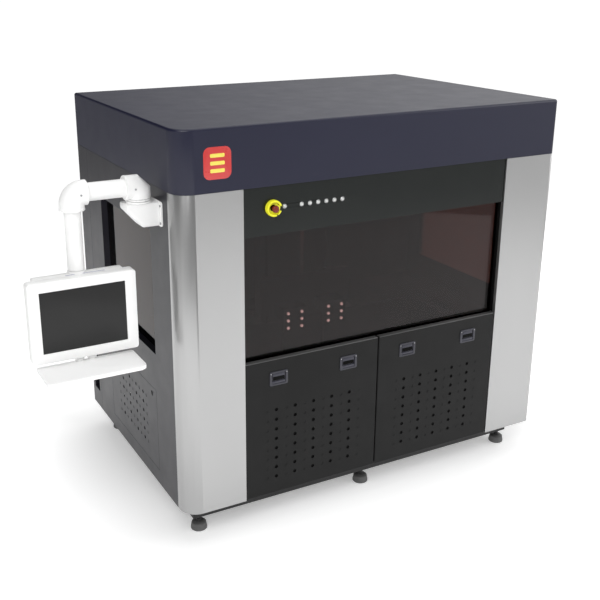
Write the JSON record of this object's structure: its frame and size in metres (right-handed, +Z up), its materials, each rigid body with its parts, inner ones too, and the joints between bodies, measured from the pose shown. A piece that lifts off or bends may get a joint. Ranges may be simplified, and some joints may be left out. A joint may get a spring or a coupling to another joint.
{
  "type": "resin printer",
  "caption": "Large cabinet resin printer with lifting tinted front window, perforated lower doors, rounded silver corner columns and a monitor on a swivel arm.",
  "frame": {"origin": "bottom centre of the whole bounding box, on the floor plane; the cabinet middle is 319.5 mm to +X of it because the monitor arm reaches out on the left", "axes": "+X to the right along the front, +Y to the rear, +Z up; the front faces -Y"},
  "size_m": [2.847, 1.529, 2.065],
  "materials": {
    "base_black": "satin black powder coat",
    "foot_rubber": "dark grey moulded",
    "hood_navy": "satin dark navy paint",
    "column_silver": "satin silver",
    "side_grey": "satin grey-violet paint",
    "door_black": "fine textured black powder coat",
    "strip_black": "gloss black fascia",
    "tinted_glass": "brown tinted UV-filter glass",
    "side_glass": "amber-brown tinted UV-filter glass",
    "frame_steel": "grey primer",
    "liner_black": "matt black",
    "steel": "ground steel",
    "aluminium": "machined",
    "chrome": "plated",
    "yellow": "yellow moulded",
    "red": "red moulded",
    "button_white": "pale lens",
    "latch_navy": "grey-violet moulded",
    "arm_white": "white powder coat",
    "monitor_white": "white moulded",
    "screen_black": "dark screen",
    "cabinet_grey": "light grey paint"
  },
  "bodies": {
    "machine": {"base_frame": "base_black", "levelling_feet": "foot_rubber", "upright_frame": "frame_steel", "hood": "hood_navy", "left_column": "column_silver", "right_column": "column_silver", "left_side_panel": "side_grey", "right_side_panel": "side_grey", "rear_corner_panels": "side_grey", "side_window_glasses": "side_glass", "rear_panel": "side_grey", "control_strip": "strip_black", "estop_shroud": "yellow", "button_bezels": "chrome", "chamber_liner": "liner_black", "resin_vat": "steel", "vat_stand": "frame_steel", "z_column": "cabinet_grey", "linear_rails": "steel", "optics_plate": "aluminium", "laser_head": "aluminium", "galvo_scanner": "liner_black", "electrical_cabinet": "cabinet_grey", "arm_bracket": "arm_white"},
    "left_vent": {"left_vent_door": "side_grey"},
    "left_vent_lock": {"left_vent_lock": "chrome"},
    "right_vent": {"right_vent_door": "side_grey"},
    "right_vent_lock": {"right_vent_lock": "chrome"},
    "rear_left_door": {"rear_left_door": "side_grey"},
    "rear_right_door": {"rear_right_door": "side_grey"},
    "estop_button": {"estop_button": "red"},
    "status_button": {"status_button": "button_white"},
    "lift_door": {"lift_door_frame": "door_black", "lift_door_glass": "tinted_glass"},
    "left_lower_door": {"left_lower_door": "door_black", "left_latch_bezels": "latch_navy"},
    "right_lower_door": {"right_lower_door": "door_black", "right_latch_bezels": "latch_navy"},
    "z_screw": {"z_screw": "steel"},
    "elevator": {"z_carriage": "aluminium", "platform_arms": "aluminium", "platform_bolts": "chrome", "build_platform": "steel"},
    "recoater": {"recoater": "aluminium"},
    "arm": {"arm_elbows": "arm_white", "arm_tubes": "arm_white"},
    "monitor": {"monitor_bezel": "monitor_white", "monitor_screen": "screen_black", "monitor_rear_cover": "monitor_white"},
    "keyboard_tray": {"keyboard_tray": "monitor_white"},
    "push_button_1": {"push_button_1": "button_white"},
    "push_button_2": {"push_button_2": "button_white"},
    "push_button_3": {"push_button_3": "button_white"},
    "push_button_4": {"push_button_4": "button_white"},
    "push_button_5": {"push_button_5": "button_white"},
    "push_button_6": {"push_button_6": "button_white"},
    "latch_paddle_1": {"latch_paddle_1": "latch_navy"},
    "latch_paddle_2": {"latch_paddle_2": "latch_navy"},
    "latch_paddle_3": {"latch_paddle_3": "latch_navy"},
    "latch_paddle_4": {"latch_paddle_4": "latch_navy"}
  },
  "joints": [
    {"name": "left_vent_hinge", "type": "hinge", "parent": "machine", "child": "left_vent", "pos_m": [-0.7765, 0.3505, 0.47], "axis": [0, 0, -1], "range_deg": [0, 100]},
    {"name": "right_vent_hinge", "type": "hinge", "parent": "machine", "child": "right_vent", "pos_m": [1.4155, 0.3505, 0.47], "axis": [0, 0, 1], "range_deg": [0, 100]},
    {"name": "left_vent_lock_turn", "type": "hinge", "parent": "left_vent", "child": "left_vent_lock", "pos_m": [-0.7805, -0.3045, 0.659], "axis": [-1, 0, 0], "range_deg": [0, 90]},
    {"name": "right_vent_lock_turn", "type": "hinge", "parent": "right_vent", "child": "right_vent_lock", "pos_m": [1.4195, -0.3045, 0.659], "axis": [1, 0, 0], "range_deg": [0, 90]},
    {"name": "rear_left_hinge", "type": "hinge", "parent": "machine", "child": "rear_left_door", "pos_m": [-0.6115, 0.7605, 0.53], "axis": [0, 0, 1], "range_deg": [0, 110]},
    {"name": "rear_right_hinge", "type": "hinge", "parent": "machine", "child": "rear_right_door", "pos_m": [1.2505, 0.7605, 0.53], "axis": [0, 0, -1], "range_deg": [0, 110]},
    {"name": "estop_press", "type": "slide", "parent": "machine", "child": "estop_button", "axis": [0, 1, 0], "range_m": [0, 0.004], "stiffness_N_per_m": 1500},
    {"name": "status_button_press", "type": "slide", "parent": "machine", "child": "status_button", "axis": [0, 1, 0], "range_m": [0, 0.002], "stiffness_N_per_m": 400},
    {"name": "push_button_1_press", "type": "slide", "parent": "machine", "child": "push_button_1", "axis": [0, 1, 0], "range_m": [0, 0.002], "stiffness_N_per_m": 400},
    {"name": "push_button_2_press", "type": "slide", "parent": "machine", "child": "push_button_2", "axis": [0, 1, 0], "range_m": [0, 0.002], "stiffness_N_per_m": 400},
    {"name": "push_button_3_press", "type": "slide", "parent": "machine", "child": "push_button_3", "axis": [0, 1, 0], "range_m": [0, 0.002], "stiffness_N_per_m": 400},
    {"name": "push_button_4_press", "type": "slide", "parent": "machine", "child": "push_button_4", "axis": [0, 1, 0], "range_m": [0, 0.002], "stiffness_N_per_m": 400},
    {"name": "push_button_5_press", "type": "slide", "parent": "machine", "child": "push_button_5", "axis": [0, 1, 0], "range_m": [0, 0.002], "stiffness_N_per_m": 400},
    {"name": "push_button_6_press", "type": "slide", "parent": "machine", "child": "push_button_6", "axis": [0, 1, 0], "range_m": [0, 0.002], "stiffness_N_per_m": 400},
    {"name": "lift_door_slide", "type": "slide", "parent": "machine", "child": "lift_door", "axis": [0, 0, 1], "range_m": [0, 0.47]},
    {"name": "left_door_tilt", "type": "hinge", "parent": "machine", "child": "left_lower_door", "pos_m": [-0.0675, -0.7225, 0.176], "axis": [1, 0, 0], "range_deg": [0, 88]},
    {"name": "right_door_tilt", "type": "hinge", "parent": "machine", "child": "right_lower_door", "pos_m": [0.7065, -0.7225, 0.176], "axis": [1, 0, 0], "range_deg": [0, 88]},
    {"name": "latch_paddle_1_pull", "type": "hinge", "parent": "left_lower_door", "child": "latch_paddle_1", "pos_m": [-0.27, -0.7265, 0.831], "axis": [-1, 0, 0], "range_deg": [0, 40], "stiffness_Nm_per_rad": 0.3},
    {"name": "latch_paddle_2_pull", "type": "hinge", "parent": "left_lower_door", "child": "latch_paddle_2", "pos_m": [0.135, -0.7265, 0.831], "axis": [-1, 0, 0], "range_deg": [0, 40], "stiffness_Nm_per_rad": 0.3},
    {"name": "latch_paddle_3_pull", "type": "hinge", "parent": "right_lower_door", "child": "latch_paddle_3", "pos_m": [0.504, -0.7265, 0.831], "axis": [-1, 0, 0], "range_deg": [0, 40], "stiffness_Nm_per_rad": 0.3},
    {"name": "latch_paddle_4_pull", "type": "hinge", "parent": "right_lower_door", "child": "latch_paddle_4", "pos_m": [0.909, -0.7265, 0.831], "axis": [-1, 0, 0], "range_deg": [0, 40], "stiffness_Nm_per_rad": 0.3},
    {"name": "elevator_slide", "type": "slide", "parent": "machine", "child": "elevator", "axis": [0, 0, 1], "range_m": [0, 0.4]},
    {"name": "z_screw_turn", "type": "hinge", "parent": "machine", "child": "z_screw", "pos_m": [0.3195, 0.0915, 1.1], "axis": [0, 0, 1], "range_deg": [0, 7200]},
    {"name": "recoater_slide", "type": "slide", "parent": "machine", "child": "recoater", "axis": [0, 1, 0], "range_m": [0, 0.43]},
    {"name": "arm_swivel", "type": "hinge", "parent": "machine", "child": "arm", "pos_m": [-0.8685, -0.4955, 1.787], "axis": [0, 0, 1], "range_deg": [-80, 30]},
    {"name": "monitor_swivel", "type": "hinge", "parent": "arm", "child": "monitor", "pos_m": [-1.1765, -0.4955, 1.44], "axis": [0, 0, 1], "range_deg": [-10, 60]},
    {"name": "tray_fold", "type": "hinge", "parent": "monitor", "child": "keyboard_tray", "pos_m": [-1.1765, -0.5555, 1.037], "axis": [1, 0, 0], "range_deg": [0, 90]}
  ],
  "couplings": [
    {"joint": "z_screw_turn", "follows": "elevator_slide", "rad_per_m": 314.16}
  ]
}
